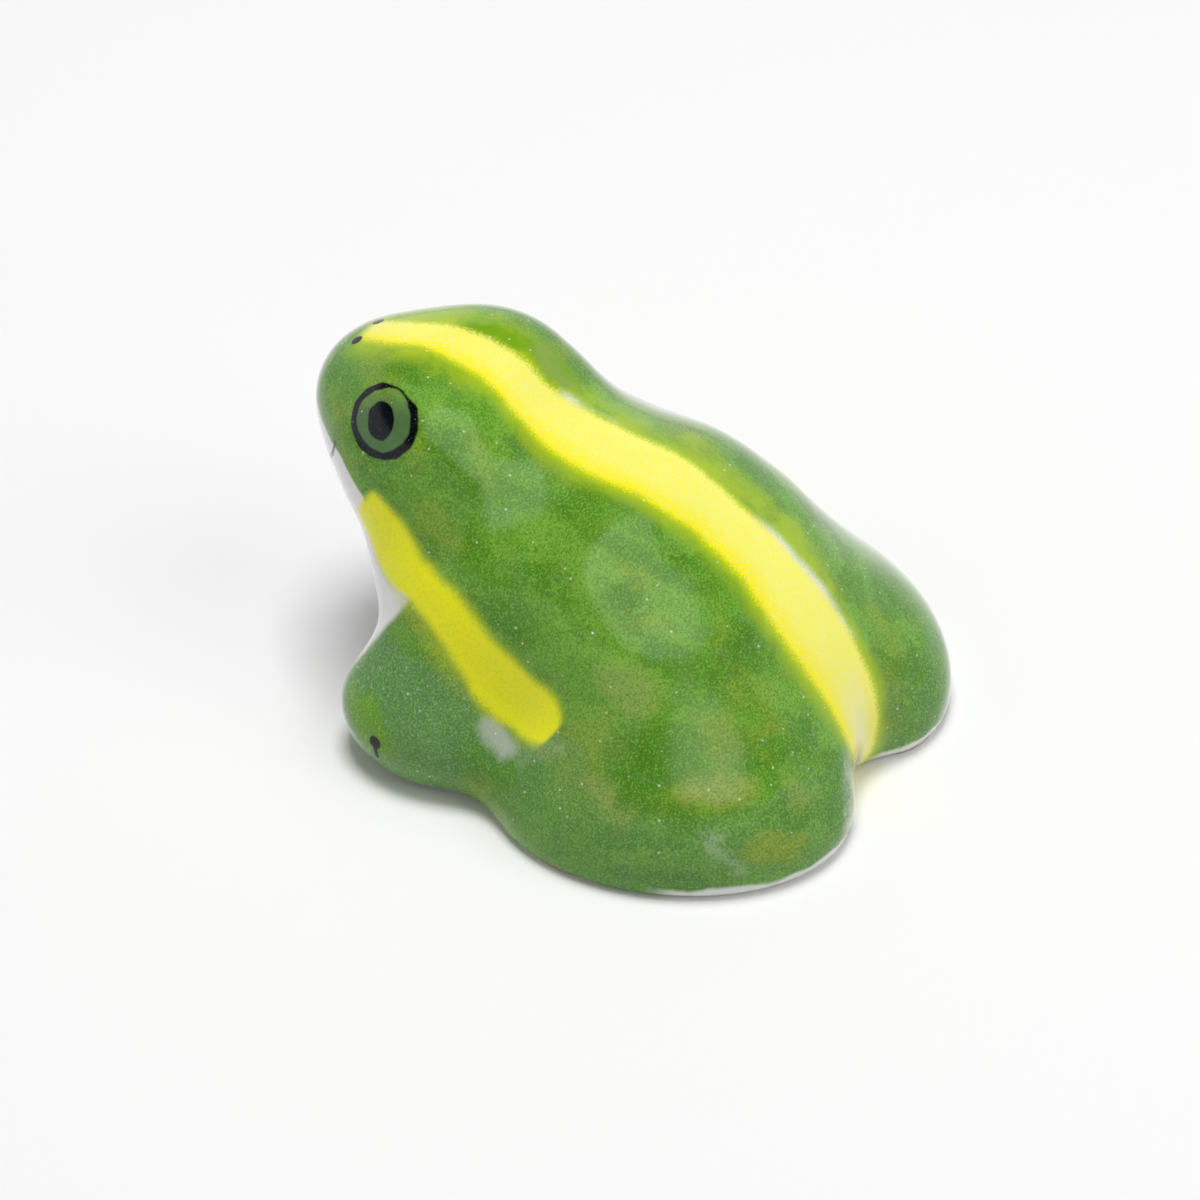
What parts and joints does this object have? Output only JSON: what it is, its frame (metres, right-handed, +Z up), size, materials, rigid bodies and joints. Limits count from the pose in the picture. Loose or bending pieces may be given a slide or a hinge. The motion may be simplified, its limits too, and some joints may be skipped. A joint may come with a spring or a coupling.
{
  "type": "frog figurine",
  "caption": "Small glazed porcelain frog ornament, sitting with its head raised, plump rounded haunches and forelegs, green with yellow stripes and painted eyes, flat base to stand on a shelf",
  "frame": {"origin": "middle of the footprint of the whole frog, on the ground plane under it", "axes": "-Y is the way the frog faces, +X is the frog's own left, +Z is up"},
  "size_m": [0.026, 0.0314, 0.0178],
  "materials": {
    "body_glaze": "clear gloss glaze over green underglaze colour, with yellow stripes and a white throat",
    "green_glaze": "clear gloss glaze over green underglaze colour"
  },
  "bodies": {
    "root": {"body": "body_glaze", "left_eye_mound": "green_glaze", "right_eye_mound": "green_glaze", "left_foreleg": "green_glaze", "right_foreleg": "green_glaze", "left_hind_leg": "green_glaze", "right_hind_leg": "green_glaze"}
  },
  "joints": []
}
